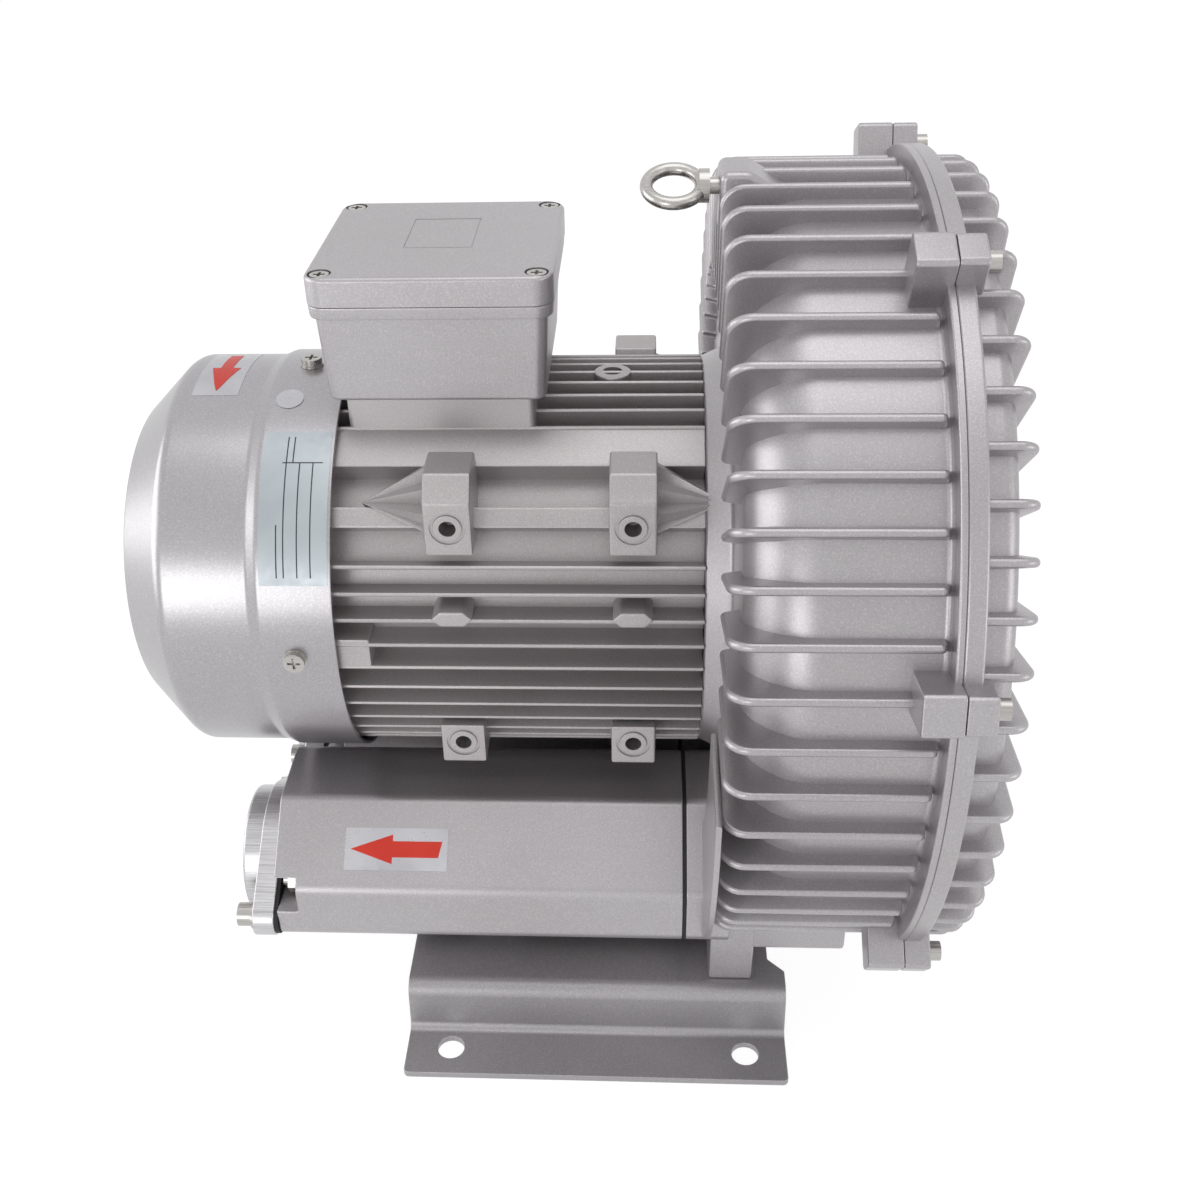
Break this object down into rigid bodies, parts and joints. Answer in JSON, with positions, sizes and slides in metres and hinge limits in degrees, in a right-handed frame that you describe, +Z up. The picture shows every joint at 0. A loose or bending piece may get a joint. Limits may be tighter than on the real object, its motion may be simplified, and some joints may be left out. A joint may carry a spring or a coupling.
{
  "type": "side channel blower",
  "caption": "Electric side channel blower with a ribbed round casing, a finned motor, silencers under the motor with threaded ports, a lifting eye and a sheet foot.",
  "frame": {"origin": "on the floor at the centre of the foot's four fixing holes", "axes": "+Z up, the shaft along X with the fan end at -X and the impeller cover at +X, the outlet silencer at -Y and the inlet silencer at +Y"},
  "size_m": [0.427, 0.4444, 0.4604],
  "materials": {
    "bare_aluminium": "machined",
    "bearing_steel": "polished",
    "brass_stud": "satin",
    "copper_winding": "varnished",
    "core_steel": "laminated",
    "cowl_paint": "satin",
    "dark_foot_paint": "satin",
    "fan_plastic": "matt",
    "foam_grey": "matt",
    "gland_plastic": "satin",
    "plate_metal": "anodised",
    "rubber_black": "matt",
    "silver_casting_paint": "satin metallic",
    "silver_label": "foil",
    "steel": "ground",
    "terminal_plastic": "matt",
    "zinc_steel": "satin"
  },
  "bodies": {
    "stator": {"box_fixing_screws": "zinc_steel", "cable_gland": "gland_plastic", "casing_cover": "silver_casting_paint", "casing_motor_half": "silver_casting_paint", "casing_seal": "rubber_black", "cover_screws": "zinc_steel", "cowl_screws": "zinc_steel", "end_shield_screws": "zinc_steel", "fan_cowl": "cowl_paint", "foot_bolts": "zinc_steel", "foot_bracket": "dark_foot_paint", "frame_to_casing_screws": "zinc_steel", "front_bearing_outer_race": "bearing_steel", "inlet_flow_label": "silver_label", "inlet_foam": "foam_grey", "inlet_port_flange": "bare_aluminium", "inlet_port_screws": "zinc_steel", "inlet_port_seal": "rubber_black", "inlet_silencer": "silver_casting_paint", "inlet_silencer_seal": "rubber_black", "inlet_sleeve": "zinc_steel", "inlet_tie_rods": "zinc_steel", "lifting_eye": "zinc_steel", "motor_frame": "silver_casting_paint", "nameplate": "plate_metal", "outlet_flow_label": "silver_label", "outlet_foam": "foam_grey", "outlet_port_flange": "bare_aluminium", "outlet_port_screws": "zinc_steel", "outlet_port_seal": "rubber_black", "outlet_silencer": "silver_casting_paint", "outlet_silencer_seal": "rubber_black", "outlet_sleeve": "zinc_steel", "outlet_tie_rods": "zinc_steel", "preload_ring": "zinc_steel", "rear_bearing_outer_race": "bearing_steel", "rear_end_shield": "silver_casting_paint", "rotation_label": "silver_label", "round_label": "silver_label", "shaft_seal": "rubber_black", "stator_core": "core_steel", "stator_windings": "copper_winding", "terminal_block": "terminal_plastic", "terminal_box_base": "silver_casting_paint", "terminal_box_lid": "silver_casting_paint", "terminal_box_seal": "rubber_black", "terminal_lid_screws": "zinc_steel", "terminal_studs": "brass_stud"},
    "rotor": {"motor_shaft": "steel", "rotor_core": "core_steel", "impeller": "bare_aluminium", "impeller_key": "steel", "impeller_washer": "zinc_steel", "impeller_screw": "zinc_steel", "cooling_fan": "fan_plastic", "fan_retaining_ring": "zinc_steel", "front_bearing_inner_race": "bearing_steel", "rear_bearing_inner_race": "bearing_steel"},
    "ball_sets": {"front_bearing_balls": "bearing_steel", "rear_bearing_balls": "bearing_steel"}
  },
  "joints": [
    {"name": "rotor_spin", "type": "hinge", "parent": "stator", "child": "rotor", "pos_m": [0, 0, 0.248], "axis": [1, 0, 0], "continuous": true},
    {"name": "ball_set_spin", "type": "hinge", "parent": "stator", "child": "ball_sets", "pos_m": [0, 0, 0.248], "axis": [1, 0, 0], "continuous": true}
  ],
  "couplings": [
    {"joint": "ball_set_spin", "follows": "rotor_spin", "ratio": 0.3784}
  ]
}
